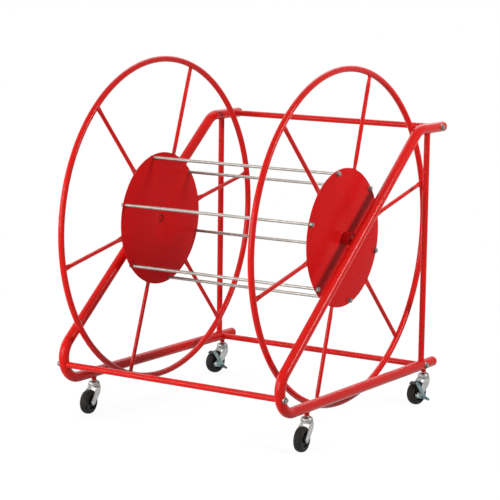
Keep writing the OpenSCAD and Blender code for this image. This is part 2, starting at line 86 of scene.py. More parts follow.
def addNoise(tree, scale, detail, stretch=(1, 1, 1)):
    place = addNode(tree, "ShaderNodeTexCoord").outputs["Object"]
    mapping = addNode(tree, "ShaderNodeMapping", Vector=place, Scale=stretch)
    return addNode(tree, "ShaderNodeTexNoise", Vector=mapping, Scale=scale, Detail=detail)


def addRamp(tree, source, stops):
    ramp = addNode(tree, "ShaderNodeValToRGB", Fac=source)
    while len(ramp.color_ramp.elements) < len(stops):
        ramp.color_ramp.elements.new(0.5)
    for element, (place, color) in zip(ramp.color_ramp.elements, stops):
        element.position = place
        element.color = (*color, 1)
    return ramp


def addRange(tree, source, low, high):
    # nearly all of a noise lies between 0.3 and 0.7
    return addNode(tree, "ShaderNodeMapRange", Value=source, From_Min=0.3, From_Max=0.7, To_Min=low,
                   To_Max=high)


def makeFinish(name, color, roughness, tones, gloss, bumps, metallic=0.0, specular=0.5, grain=(1, 1, 1)):
    # a noise is (scale, detail); tones are a noise and its colours, gloss is a noise and the roughness it
    # runs between, and each bump is a noise, its depth and its strength, laid over the bump before
    finish = bpy.data.materials.new(name)
    finish.use_nodes = True
    tree = finish.node_tree
    shader = tree.nodes["Principled BSDF"]
    setInputs(tree, shader, Base_Color=(*color, 1), Roughness=roughness, Metallic=metallic,
              Specular_IOR_Level=specular)
    noise, stops = tones
    setInputs(tree, shader, Base_Color=addRamp(tree, addNoise(tree, *noise), stops))
    noise, low, high = gloss
    setInputs(tree, shader, Roughness=addRange(tree, addNoise(tree, *noise, grain), low, high))
    under = {}
    for noise, depth, strength in bumps:
        bump = addNode(tree, "ShaderNodeBump", Height=addNoise(tree, *noise, grain), Distance=depth,
                       Strength=strength, **under)
        under = {"Normal": bump}
    setInputs(tree, shader, **under)
    return finish


def paintFinish(name, red, deepRed, specular, gloss, wave, peel):
    # stove enamel: a deep even red, a slow wave in the gloss and a little orange peel
    return makeFinish(name, red, gloss, ((7, 4), [(0.3, deepRed), (0.62, red)]),
                      ((38, 5), gloss, gloss * 1.4),
                      [((60, 2), 0.00025, wave), ((520, 3), 0.00008, peel)], specular=specular)


def steelFinish(name, color, darkColor, roughness, grain=(1, 1, 1)):
    return makeFinish(name, color, roughness, ((55, 5), [(0.32, darkColor), (0.6, color)]),
                      ((240, 4), roughness * 0.75, roughness * 1.45), [((600, 3), 0.00006, 0.5)],
                      metallic=1.0, grain=grain)


redEnamel = paintFinish("redEnamel", (0.645, 0.0095, 0.0065), (0.595, 0.0085, 0.0060), 0.12, 0.16, 0.03, 0.03)
redSheet = paintFinish("redSheet", (0.630, 0.0095, 0.0100), (0.580, 0.0090, 0.0105), 0.03, 0.24, 0.04, 0.06)
# a darker copy of the red enamel: painted shade for the hubs and the thrust washers, which lie in the
# diagonal tube's shadow
hubShadeEnamel = paintFinish("hubShadeEnamel", (0.420, 0.0065, 0.0075), (0.370, 0.0060, 0.0070), 0.035, 0.24, 0.12, 0.2)
brightZinc = steelFinish("brightZinc", (0.44, 0.44, 0.43), (0.32, 0.32, 0.31), 0.27)
drawnSteel = steelFinish("drawnSteel", (0.33, 0.31, 0.285), (0.26, 0.245, 0.225), 0.42, (0.02, 1, 1))
greyZinc = steelFinish("greyZinc", (0.25, 0.235, 0.225), (0.17, 0.16, 0.155), 0.34)
darkChrome = steelFinish("darkChrome", (0.30, 0.29, 0.28), (0.22, 0.21, 0.20), 0.36)
# passivated zinc: a cool blue that drifts to straw and violet
blueZinc = makeFinish(
    "blueZinc", (0.18, 0.25, 0.26), 0.27,
    ((70, 3), [(0.30, (0.12, 0.19, 0.20)), (0.50, (0.18, 0.25, 0.26)), (0.64, (0.25, 0.28, 0.26)),
               (0.75, (0.20, 0.21, 0.27))]),
    ((300, 4), 0.2, 0.36), [((700, 2), 0.00005, 0.4)], metallic=1.0)
tyreRubber = makeFinish(
    "tyreRubber", (0.017, 0.0155, 0.014), 0.62,
    ((45, 6), [(0.38, (0.013, 0.012, 0.011)), (0.62, (0.019, 0.017, 0.0155)), (0.8, (0.036, 0.033, 0.029))]),
    ((120, 5), 0.5, 0.78), [((900, 4), 0.0001, 0.6)], specular=0.14)
blackPlastic = makeFinish(
    "blackPlastic", (0.012, 0.012, 0.012), 0.38,
    ((60, 4), [(0.35, (0.009, 0.009, 0.009)), (0.7, (0.015, 0.015, 0.016))]),
    ((200, 4), 0.3, 0.5), [((1400, 2), 0.00004, 0.7)], specular=0.2)
print("finishes made")


# mesh tools

def rounded(corners, closed=False, steps=4):
    # corners are (x, y, radius); gives points with each corner turned off to its radius
    points = []
    for i, (x, y, radius) in enumerate(corners):
        here = Vector((x, y))
        if radius <= 0 or (not closed and i in (0, len(corners) - 1)):
            points.append(here)
            continue
        before = Vector(corners[i - 1][:2]) - here
        after = Vector(corners[(i + 1) % len(corners)][:2]) - here
        half = before.angle(after) / 2
        cut = min(radius / math.tan(half), before.length * 0.49, after.length * 0.49)
        before.normalize()
        after.normalize()
        centre = here + (before + after).normalized() * (cut / math.cos(half))
        first = here + before * cut - centre
        last = here + after * cut - centre
        start = math.atan2(first.y, first.x)
        sweep = (math.atan2(last.y, last.x) - start + math.pi) % tau - math.pi
        for step in range(steps + 1):
            angle = start + sweep * step / steps
            points.append(centre + first.length * Vector((math.cos(angle), math.sin(angle))))
    return points


def addObject(name, mesh, finish):
    obj = bpy.data.objects.new(name, mesh)
    scene.collection.objects.link(obj)
    if finish is not None:
        mesh.materials.clear()
        mesh.materials.append(finish)
    return obj


def fromPoints(name, points, faces, finish, edges=()):
    mesh = bpy.data.meshes.new(name)
    mesh.from_pydata([tuple(p) for p in points], edges, faces)
    return addObject(name, mesh, finish)


def applyAll(obj):
    # turns the modifiers' result into the object's own plain mesh
    result = bpy.data.meshes.new_from_object(obj.evaluated_get(bpy.context.evaluated_depsgraph_get()))
    obj.modifiers.clear()
    obj.data = result
    return obj


def tidyMesh(obj, place=None, sharpAngle=32):
    # closes seams, turns faces outwards, puts the place into the mesh and smooths all but sharp edges
    work = bmesh.new()
    work.from_mesh(obj.data)
    bmesh.ops.remove_doubles(work, verts=work.verts, dist=1e-6)
    bmesh.ops.recalc_face_normals(work, faces=work.faces)
    if place is not None:
        bmesh.ops.transform(work, matrix=place, verts=work.verts)
        if place.determinant() < 0:
            bmesh.ops.reverse_faces(work, faces=work.faces)
    work.to_mesh(obj.data)
    work.free()
    obj.data.shade_smooth()
    obj.data.set_sharp_from_angle(angle=math.radians(sharpAngle))
    obj.data.update()
    return obj


def bevelled(obj, width, angle=35):
    bevel = obj.modifiers.new("bevel", "BEVEL")
    bevel.width = width
    bevel.segments = 2
    bevel.limit_method = "ANGLE"
    bevel.angle_limit = math.radians(angle)
    return applyAll(obj)


def ringPoints(radius, count):
    return [(radius * math.cos(tau * k / count), radius * math.sin(tau * k / count)) for k in range(count)]


def ringFaces(low, high, count):
    # a band of faces between two rings of points, each given by its number
    return [[low * count + k, low * count + (k + 1) % count, high * count + (k + 1) % count, high * count + k]
            for k in range(count)]


def mirrored(profile):
    return [(radius, -height, corner) for radius, height, corner in profile[::-1]]


def turnedPiece(name, corners, finish, place, segments, closed=False):
    # corners are (radius, height, corner radius) up the turning axis, which is z before it is placed
    points, rings = [], []
    for radius, height in rounded(corners, closed):
        if radius < 1e-7:
            rings.append([len(points)] * segments)
            points.append((0, 0, height))
            continue
        rings.append([len(points) + k for k in range(segments)])
        points += [(x, y, height) for x, y in ringPoints(radius, segments)]
    if closed:
        rings.append(rings[0])
    faces = []
    for low, high in zip(rings, rings[1:]):
        for k in range(segments):
            n = (k + 1) % segments
            corner = [low[k], low[n], high[n], high[k]]
            face = [v for i, v in enumerate(corner) if v not in corner[:i]]
            if len(face) > 2:
                faces.append(face)
    return tidyMesh(fromPoints(name, points, faces, finish), place)


def flatPiece(name, outline, thickness, finish, place, bevel):
    # outline lies in x and y; the piece rises by its thickness along z
    count = len(outline)
    points = [(x, y, z) for z in (0, thickness) for x, y in outline]
    faces = [list(range(count))[::-1], list(range(count, 2 * count))] + ringFaces(0, 1, count)
    return tidyMesh(bevelled(tidyMesh(fromPoints(name, points, faces, finish)), bevel), place)


def hexPiece(name, acrossFlats, height, bore, finish, place, washerFace=0.0):
    # a hexagon whose outer corners are turned off by a cone, with a bore or without
    sides, flat = 72, acrossFlats / 2
    levels = [(0, flat * 0.98), (0.0002, flat * 1.2)]
    if washerFace:
        levels = [(0, flat * 0.95), (washerFace, flat * 0.95), (washerFace, flat * 1.2)]
    cone = height - 0.13 * acrossFlats
    levels += [(cone + (height - cone) * k / 6, flat * (1.155 - 0.215 * (k / 6) ** 1.25)) for k in range(7)]
    points, faces = [], []
    for z, limit in levels:
        for k in range(sides):
            angle = tau * k / sides
            toFlat = (math.degrees(angle) + 30) % 60 - 30
            radius = min(flat / math.cos(math.radians(toFlat)), limit)
            points.append((radius * math.cos(angle), radius * math.sin(angle), z))
    rows = len(levels)
    order = list(range(rows))
    if bore:
        lip = min(0.0006, bore * 0.15)
        for radius, z in ((bore + lip, height), (bore, height - lip), (bore, lip), (bore + lip, 0)):
            points += [(x, y, z) for x, y in ringPoints(radius, sides)]
        order += [rows, rows + 1, rows + 2, rows + 3, 0]
    for low, high in zip(order, order[1:]):
        faces += ringFaces(low, high, sides)
    if not bore:
        faces += [list(range(sides))[::-1], [(rows - 1) * sides + k for k in range(sides)]]
    return tidyMesh(fromPoints(name, points, faces, finish), place, 28)


def joinPieces(name, pieces):
    # makes one object of several pieces of the same body
    work = bmesh.new()
    finishes = []
    for piece in pieces:
        for material in piece.data.materials:
            if material not in finishes:
                finishes.append(material)
        start = len(work.faces)
        work.from_mesh(piece.data)
        work.faces.ensure_lookup_table()
        for face in work.faces[start:]:
            face.material_index = finishes.index(piece.data.materials[face.material_index])
    mesh = bpy.data.meshes.new(name)
    work.to_mesh(mesh)
    work.free()
    for piece in pieces:
        bpy.data.objects.remove(piece)
    obj = addObject(name, mesh, None)
    for material in finishes:
        mesh.materials.append(material)
    return obj


def unionOutline(bars, centre, count):
    # outline of overlapping round-ended bars that all hold the centre point
    centre, samples, far, halvings = Vector(centre), 32, 0.12, 22

    def inside(point):
        for (ax, ay), ar, (bx, by), br in bars:
            along = Vector((bx - ax, by - ay))
            for step in range(samples + 1):
                t = step / samples
                if (point - Vector((ax, ay)) - t * along).length <= ar + (br - ar) * t:
                    return True
        return False

    outline = []
    for direction in map(Vector, ringPoints(1, count)):
        low, high = 0.0, far
        for _ in range(halvings):
            middle = (low + high) / 2
            low, high = (middle, high) if inside(centre + middle * direction) else (low, middle)
        outline.append(tuple(centre + low * direction))
    return outline


def saddleLoop(crossing, direction, radius, bigDirection, bigRadius, count=72):
    # the line where a tube meets a bigger one that it stands on
    direction = Vector(direction).normalized()
    across = direction.cross(Vector(bigDirection)).normalized()
    along = across.cross(direction)
    loop = []
    for k in range(count):
        angle = tau * k / count
        side = radius * math.cos(angle)
        rise = math.sqrt(max(bigRadius ** 2 - side ** 2, 0))
        loop.append(Vector(crossing) + side * across + radius * math.sin(angle) * along + rise * direction)
    return loop


# geometry node trees

def newTree(name, **inputs):
    # each input is given with the kind of its socket
    tree = bpy.data.node_groups.new(name, "GeometryNodeTree")
    tree.interface.new_socket("Geometry", in_out="OUTPUT", socket_type="NodeSocketGeometry")
    for label, kind in {"Geometry": "Geometry", **inputs, "Finish": "Material"}.items():
        tree.interface.new_socket(label, in_out="INPUT", socket_type="NodeSocket" + kind)
    return tree, tree.nodes.new("NodeGroupInput").outputs


def finishTree(tree, given, geometry):
    real = addNode(tree, "GeometryNodeRealizeInstances", Geometry=geometry)
    smooth = addNode(tree, "GeometryNodeSetShadeSmooth", Geometry=real)
    painted = addNode(tree, "GeometryNodeSetMaterial", Geometry=smooth, Material=given["Finish"])
    addNode(tree, "NodeGroupOutput", i0=painted)
    return tree


def tubeTree():
    # a tube along the points of a line
    tree, given = newTree("tubeAlong", Radius="Float", Sides="Int", Capped="Bool")
    curve = addNode(tree, "GeometryNodeMeshToCurve", Mesh=given["Geometry"])
    ring = addNode(tree, "GeometryNodeCurvePrimitiveCircle", {"mode": "RADIUS"}, Resolution=given["Sides"],
                   Radius=given["Radius"])
    return finishTree(tree, given, addNode(tree, "GeometryNodeCurveToMesh", Curve=curve, Profile_Curve=ring,
                                           Fill_Caps=given["Capped"]))


def beadTree():
    # a weld bead along closed lines, with the small scallops of the run
    scallop, depth = 0.0022, 0.14
    tree, given = newTree("weldBead", Width="Float")
    curve = addNode(tree, "GeometryNodeMeshToCurve", Mesh=given["Geometry"])
    reach = addNode(tree, "GeometryNodeSplineParameter").outputs["Length"]
    turns = calculate(tree, "MULTIPLY", calculate(tree, "DIVIDE", reach, scallop), tau)
    swing = calculate(tree, "MULTIPLY_ADD", calculate(tree, "SINE", turns), depth, 1.0)
    width = calculate(tree, "MULTIPLY", swing, given["Width"])
    ring = addNode(tree, "GeometryNodeCurvePrimitiveCircle", {"mode": "RADIUS"}, Resolution=8, Radius=1.0)
    return finishTree(tree, given, addNode(tree, "GeometryNodeCurveToMesh", Curve=curve, Profile_Curve=ring,
                                           Scale=width))


def roundTree():
    # copies of a piece turned about an axis along x
    tree, given = newTree("roundTheAxis", Count="Int", Phase="Float", Centre="Vector")
    back = addNode(tree, "ShaderNodeVectorMath", {"operation": "SCALE"}, i0=given["Centre"], Scale=-1.0)
    moved = addNode(tree, "GeometryNodeTransform", Geometry=given["Geometry"], Translation=back)
    dots = addNode(tree, "GeometryNodePoints", Count=given["Count"], Position=given["Centre"])
    share = calculate(tree, "DIVIDE", tau, given["Count"])
    angle = calculate(tree, "MULTIPLY_ADD", addNode(tree, "GeometryNodeInputIndex"), share, given["Phase"])
    turn = addNode(tree, "FunctionNodeAxisAngleToRotation", Axis=(1, 0, 0), Angle=angle)
    return finishTree(tree, given, addNode(tree, "GeometryNodeInstanceOnPoints", Points=dots, Instance=moved,
                                           Rotation=turn))


def placesTree():
    # a copy of a piece on each point, tilted about x by the point's own angle, then turned to face outwards
    tree, given = newTree("atPlaces", Places="Object")
    spots = addNode(tree, "GeometryNodeObjectInfo", Object=given["Places"]).outputs["Geometry"]
    tilt = addNode(tree, "GeometryNodeInputNamedAttribute", {"data_type": "FLOAT"}, Name="tilt")
    parts = addNode(tree, "ShaderNodeSeparateXYZ", Vector=addNode(tree, "GeometryNodeInputPosition"))
    left = calculate(tree, "LESS_THAN", parts.outputs["X"], 0.0)
    sign = calculate(tree, "MULTIPLY_ADD", left, -2.0, 1.0)
    lean = calculate(tree, "MULTIPLY", sign, tilt.outputs["Attribute"])
    euler = addNode(tree, "ShaderNodeCombineXYZ", X=lean, Z=calculate(tree, "MULTIPLY", left, math.pi))
    turn = addNode(tree, "FunctionNodeEulerToRotation", Euler=euler)
    return finishTree(tree, given, addNode(tree, "GeometryNodeInstanceOnPoints", Points=spots,
                                           Instance=given["Geometry"], Rotation=turn))


trees = {"tube": tubeTree(), "bead": beadTree(), "round": roundTree(), "places": placesTree()}


def runTree(obj, kind, finish, **values):
    values["Finish"] = finish
    modifier = obj.modifiers.new(kind, "NODES")
    modifier.node_group = trees[kind]
    for item in trees[kind].interface.items_tree:
        if item.name in values:
            modifier[item.identifier] = values[item.name]
    return applyAll(obj)


def pathObject(name, loops, closed):
    points, edges = [], []
    for loop in loops:
        first = len(points)
        points += loop
        edges += [(k, k + 1) for k in range(first, len(points) - 1)]
        if closed:
            edges.append((len(points) - 1, first))
    return fromPoints(name, points, [], None, edges)


def tubeAlong(name, points, radius, finish, sides, closed=False):
    obj = runTree(pathObject(name, [points], closed), "tube", finish, Radius=radius, Sides=sides,
                  Capped=not closed)
    return tidyMesh(obj, sharpAngle=40)


def weldBeads(name, loops, width):
    return tidyMesh(runTree(pathObject(name, loops, True), "bead", redEnamel, Width=width), sharpAngle=80)


def placesObject(places):
    mesh = bpy.data.meshes.new("places")
    mesh.from_pydata([p[:3] for p in places], [], [])
    tilt = mesh.attributes.new("tilt", "FLOAT", "POINT")
    tilt.data.foreach_set("value", [p[3] for p in places])
    return addObject("places", mesh, None)


def facingOut(side, x, y=0):
    # at the height of the reel's axis, turns a piece made up z to point outwards along x
    return Matrix.Translation((side * x, y, frameSizes["axleZ"])) @ \
        Matrix.Rotation(side * math.pi / 2, 4, "Y")


def standingAt(x):
    # stands the outline of a flat piece up in y and z, its thickness along x
    return Matrix(((0, 0, 1, x), (1, 0, 0, 0), (0, 1, 0, 0), (0, 0, 0, 1)))


def setPiece(obj, node, body):
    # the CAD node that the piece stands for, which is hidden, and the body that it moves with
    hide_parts(node)
    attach(obj, body)


toX = Matrix.Rotation(math.pi / 2, 4, "Y")       # turns a piece made up z to lie along +x
flanks = {"left": -1, "right": 1}
print("tools ready")


# side frames

def sidePath(side):
    size = frameSizes
    slope, bend, x = math.radians(size["slope"]), size["bendRadius"], side * size["railX"]
    frontY = -(size["axleZ"] - size["baseZ"]) / math.tan(slope) + bend / math.tan(slope / 2)
    topY = (size["topZ"] - size["axleZ"]) / math.tan(slope) + bend * math.tan(slope / 2)
    points = [Vector((x, size["baseEndY"] + (frontY - size["baseEndY"]) * k / 12, size["baseZ"]))
              for k in range(12)]
    for centreY, centreZ, first, last, steps in (
            (frontY, size["baseZ"] + bend, 270, 90 + size["slope"], 40),
            (topY, size["topZ"] - bend, 90 + size["slope"], 90, 16)):
        for k in range(steps + 1):
            angle = math.radians(first + (last - first) * k / steps)
            points.append(Vector((x, centreY + bend * math.cos(angle), centreZ + bend * math.sin(angle))))
    points.append(Vector((x, size["topEndY"], size["topZ"])))
    return points, frontY


def makeSideFrames():
    size = frameSizes
    rail = size["railRadius"]
    trim = {"postLap": 0.004, "socketRadius": 0.0075, "collarRadius": 0.012, "cap": 0.005, "plug": 0.003}
    beadWidths = {"post": 0.0016, "socket": 0.0013, "collar": 0.0014}
    slope = math.radians(size["slope"])
    loops = {"post": [], "socket": [], "collar": []}
    for name, side in flanks.items():
        x = side * size["railX"]
        points, frontY = sidePath(side)
        tube = tubeAlong(name + "SideTube", points, rail, redEnamel, 56)
        setPiece(tube, name + "_side_tube", "frame")
        post = tubeAlong(name + "Post", [Vector((x, size["postY"], z)) for z in (
            size["baseZ"] + trim["postLap"], 0.4, 0.6, size["topZ"] - trim["postLap"])],
            size["tubeRadius"], redEnamel, 40)
        setPiece(post, name + "_post", "frame")
        for z, up in ((size["baseZ"], 1), (size["topZ"], -1)):
            loops["post"].append(saddleLoop((x, size["postY"], z), (0, 0, up), size["tubeRadius"], (0, 1, 0),
                                            rail))
        loops["collar"].append(saddleLoop((x, 0, size["axleZ"]), (-side, 0, 0), trim["collarRadius"],
                                          (0, math.cos(slope), math.sin(slope)), rail, 64))
    for side, y, _ in casters.values():
        loops["socket"].append(saddleLoop((side * size["railX"], y, size["baseZ"]), (0, 0, -1),
                                          trim["socketRadius"], (0, 1, 0), rail, 56))
    welds = joinPieces("frameWelds", [weldBeads(kind + "Beads", loops[kind], width)
                                      for kind, width in beadWidths.items()])
    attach(welds, "frame")

    cap, plug = trim["cap"], trim["plug"]
    for name, node, slot, finish, y, z, profile in (
            ("baseEndCaps", "base_end_caps", "red_enamel", redEnamel, size["baseEndY"], size["baseZ"],
             [(0, -0.01, 0), (rail - 0.0025, -0.01, 0), (rail - 0.0025, 0, 0), (rail, 0, 0),
              (rail, cap * 0.45, 0.0022), (rail * 0.55, cap * 0.9, 0.006), (0, cap, 0)]),
            ("stubEndPlugs", "stub_end_plugs", "black_plastic", blackPlastic, size["topEndY"], size["topZ"],
             [(0, -0.012, 0), (rail - 0.003, -0.012, 0), (rail - 0.003, -0.0005, 0), (rail, -0.0002, 0.0002),
              (rail, plug * 0.5, 0.0009), (rail * 0.6, plug * 0.92, 0.004), (0, plug, 0)])):
        ends = [turnedPiece("end", profile, finish, Matrix.Translation((side * size["railX"], y, z))
                            @ Matrix.Rotation(-math.pi / 2, 4, "X"), 64) for side in flanks.values()]
        setPiece(joinPieces(name, ends), node, "frame")
    return frontY


frontBendY = makeSideFrames()
print("side frames made")


# cross tubes and their bolts

def makeCrossTubes():
    size = frameSizes
    bolt = {"acrossFlats": 0.013, "headHeight": 0.0053, "headFace": 0.0005, "washerRadius": 0.010,
            "washerBore": 0.0042, "washerHeight": 0.0025, "washerEdge": 0.0006, "tubeShort": 0.008}
    drop = math.radians(size["frontCrossDrop"])
    frontPlace = (frontBendY - size["bendRadius"] * math.cos(drop),
                  size["baseZ"] + size["bendRadius"] * (1 - math.sin(drop)))
    places = {"front": (*frontPlace, math.pi / 2 + drop), "rear": (size["rearCrossY"], size["baseZ"], 0.0),
              "top": (size["topCrossY"], size["topZ"], 0.0)}
    reach = size["railX"] - bolt["tubeShort"]
    for name, (y, z, _) in places.items():
        tube = tubeAlong(name + "CrossTube", [Vector((reach * k / 2, y, z)) for k in (-2, -1, 0, 1, 2)],
                         size["tubeRadius"], redEnamel, 44)
        setPiece(tube, name + "_cross_tube", "frame")
    seat = size["railX"] + size["railRadius"]
    spots = placesObject([(side * (seat + bolt["washerHeight"]), y, z, tilt)
                          for y, z, tilt in places.values() for side in flanks.values()])
    heads = hexPiece("frameBolts", bolt["acrossFlats"], bolt["headHeight"], 0, greyZinc, toX,
                     washerFace=bolt["headFace"])

    # a saddle washer: round from outside, its foot hollowed to the tube
    count, rail, rim, bore = 64, size["railRadius"], bolt["washerRadius"], bolt["washerBore"]
    edge = bolt["washerEdge"]
    points = [(top, y, z) for radius, top in ((bore, 0), (rim - edge, 0), (rim, -edge))
              for y, z in ringPoints(radius, count)]
    points += [(math.sqrt(rail ** 2 - z ** 2) - rail - bolt["washerHeight"], y, z)
               for radius in (rim, bore) for y, z in ringPoints(radius, count)]
    faces = [face for row in range(5) for face in ringFaces(row, (row + 1) % 5, count)]
    washers = tidyMesh(fromPoints("saddleWashers", points, faces, greyZinc))
    for obj, node, sharpAngle in ((heads, "frame_bolts", 28), (washers, "saddle_washers", 30)):
        tidyMesh(runTree(obj, "places", greyZinc, Places=spots), sharpAngle=sharpAngle)
        setPiece(obj, node, "frame")
    bpy.data.objects.remove(spots)


makeCrossTubes()
print("cross tubes and bolts made")


# reel

reelSizes = {
    "ringRadius": 0.500, "ringTube": 0.0094, "flangeX": 0.333,
    "discRadius": 0.208, "discHalf": 0.0015, "discHole": 0.012,
    "spokeRadius": 0.00635, "flatWidth": 0.018, "flatHeight": 0.003, "crush": 0.024, "tail": 0.006,
    "spokeCount": 6, "spokePhase": {"left": 11.4, "right": 13.8},
    "rodCount": 6, "rodPhase": 42, "rodCircle": 0.199, "rodRadius": 0.00475, "rodEnd": 0.004,
}


def ringReach(side, height):
    # distance from the reel's axis to the inner face of the ring, beside the spoke's own line
    size = reelSizes
    out = size["ringRadius"] - math.sqrt(size["ringTube"] ** 2 - height ** 2)
    return math.sqrt(out ** 2 - side ** 2)


def spokeSection(flat, count):
    size = reelSizes
    wide = 2 * size["spokeRadius"] + (size["flatWidth"] - 2 * size["spokeRadius"]) * flat
    high = 2 * size["spokeRadius"] + (size["flatHeight"] - 2 * size["spokeRadius"]) * flat
    section = []
    for k in range(count):
        angle = tau * (k + 0.5) / count
        shift = (wide - high) / 2 * (1 if math.cos(angle) > 0 else -1)
        section.append((shift + high / 2 * math.cos(angle), high / 2 * math.sin(angle)))
    return section


def makeSpokes(name, side):
    # one spoke along +y from the plate's edge to the ring, round in the middle and crushed at both ends
    size, count = reelSizes, 40
    weld = {"plateLap": 0.0002, "ringLap": 0.0003, "gap": 0.0002, "width": 0.0011, "rise": 1.15,
            "spread": 1.04}
    inner, outer = size["discRadius"], size["ringRadius"] - size["ringTube"]
    stations = [(inner, 1.0), (inner + size["tail"] * 0.6, 1.0)]
    for k in range(11):
        t = k / 10
        stations.append((inner + size["tail"] + size["crush"] * t, 1 - t * t * (3 - 2 * t)))
    stations.append(((inner + outer) / 2, 0.0))
    stations += [(inner + outer - r, flat) for r, flat in stations[-2::-1]]
    last = len(stations) - 1
    points, faces = [], []
    for row, (reach, flat) in enumerate(stations):
        for across, height in spokeSection(flat, count):
            y = reach
            if row == 0:
                y = math.sqrt(inner ** 2 - across ** 2) - weld["plateLap"]
            if row == last:
                y = ringReach(across, height) + weld["ringLap"]
            points.append((side * size["flangeX"] + height, y, across))
    for row in range(last):
        faces += ringFaces(row, row + 1, count)
    faces += [list(range(count))[::-1], [last * count + k for k in range(count)]]
    spokes = tidyMesh(fromPoints(name, points, faces, redEnamel))
    move = Matrix.Translation((0, 0, frameSizes["axleZ"]))
    spokes.data.transform(move)
    section = [(a, h * weld["rise"]) for a, h in spokeSection(1.0, 64)]
    reaches = ([math.sqrt(inner ** 2 - a ** 2) + weld["gap"] for a, h in section],
               [ringReach(a, h) - weld["gap"] for a, h in section])
    loops = [[move @ Vector((side * size["flangeX"] + h, y, a * weld["spread"]))
              for (a, h), y in zip(section, reach)] for reach in reaches]
    spokes = joinPieces(name, [spokes, weldBeads(name + "Beads", loops, weld["width"])])
    runTree(spokes, "round", redEnamel, Count=size["spokeCount"],
            Phase=math.radians(size["spokePhase"]["left" if side < 0 else "right"]),
            Centre=(side * size["flangeX"], 0, frameSizes["axleZ"]))
    return tidyMesh(spokes, sharpAngle=40)


def makeFlanges():
    size, axle = reelSizes, frameSizes["axleZ"]
    hub = {"radius": 0.019, "length": 0.029, "bead": 0.0018}
    half, edge, hole = size["discHalf"], size["discRadius"], size["discHole"]
    end = half + hub["length"]
    for name, side in flanks.items():
        path = [Vector((side * size["flangeX"], y, axle + z)) for y, z in ringPoints(size["ringRadius"], 256)]
        ring = tubeAlong(name + "Ring", path, size["ringTube"], redEnamel, 36, closed=True)
        setPiece(ring, name + "_ring", "reel")
        setPiece(makeSpokes(name + "Spokes", side), name + "_spokes", "reel")
        facing = facingOut(side, size["flangeX"])
        disc = turnedPiece(name + "Disc", [(hole, -half, 0.0004), (edge, -half, 0.0007), (edge, half, 0.0007),
                                           (hole, half, 0.0004)], redSheet, facing, 192, closed=True)
        setPiece(disc, name + "_disc", "reel")
        # the hub tube takes the darker enamel, painted shade for the diagonal tube's shadow
        tube = turnedPiece("tube", [(hole, half, 0), (hub["radius"], half, 0), (hub["radius"], end, 0.0008),
                                    (hole, end, 0.0006)], hubShadeEnamel, facing, 80, closed=True)
        foot = [facing @ Vector((x, y, half)) for x, y in ringPoints(hub["radius"], 90)]
        hubPiece = joinPieces(name + "Hub", [tube, weldBeads("hubBead", [foot], hub["bead"])])
        setPiece(hubPiece, name + "_hub", "reel")


def makeTieRods():
    size = reelSizes
    rod = {"shoulder": 0.0004, "chamfer": 0.0006, "pitch": 0.00125, "groove": 0.0005, "threadPast": 0.002}
    washer = {"radius": 0.008, "bore": 0.0042, "height": 0.0015}
    nut = {"flats": 0.013, "height": 0.0065, "turn": 17, "turnApart": 11}
    outer, inner = size["flangeX"] + size["discHalf"], size["flangeX"] - size["discHalf"]
    bore, rim, seat = washer["bore"], washer["radius"], washer["height"]
    nutEnd = outer + seat + nut["height"]
    tip = nutEnd + rod["threadPast"]
    body, end, shoulder, groove = size["rodRadius"], size["rodEnd"], rod["shoulder"], rod["groove"]
    half = [(body, 0, 0), (body, inner - shoulder, 0), (body - shoulder, inner, 0), (end, inner, 0),
            (end, outer, 0)]
    # the thread's grooves are plain rings: they read as a thread at this size
    reach = nutEnd - groove
    while reach < tip - groove:
        half += [(end - groove, reach, 0), (end, reach + rod["pitch"] / 2, 0)]
        reach += rod["pitch"]
    half += [(end - rod["chamfer"], tip, 0), (0, tip, 0)]
    rods = turnedPiece("tieRods", mirrored(half) + half[1:], drawnSteel, facingOut(1, 0, size["rodCircle"]),
                       32)
    washers, nuts = [], []
    for side in flanks.values():
        facing = facingOut(side, outer, size["rodCircle"])
        washers.append(turnedPiece("washer", [
            (bore, 0, 0), (rim, 0, 0.0003), (rim, seat, 0.0005), (bore, seat, 0)], greyZinc, facing, 48,
            closed=True))
        turn = Matrix.Rotation(math.radians(nut["turn"] + nut["turnApart"] * side), 4, "Z")
        nuts.append(hexPiece("nut", nut["flats"], nut["height"], end, greyZinc,
                             facing @ Matrix.Translation((0, 0, seat)) @ turn))
    for obj, node, finish, sharpAngle in (
            (rods, "tie_rods", drawnSteel, 32),
            (joinPieces("rodWashers", washers), "rod_washers", greyZinc, 28),
            (joinPieces("rodNuts", nuts), "rod_nuts", greyZinc, 28)):
        runTree(obj, "round", finish, Centre=(0, 0, frameSizes["axleZ"]), Count=size["rodCount"],
                Phase=math.radians(size["rodPhase"]))
        setPiece(tidyMesh(obj, sharpAngle=sharpAngle), node, "reel")


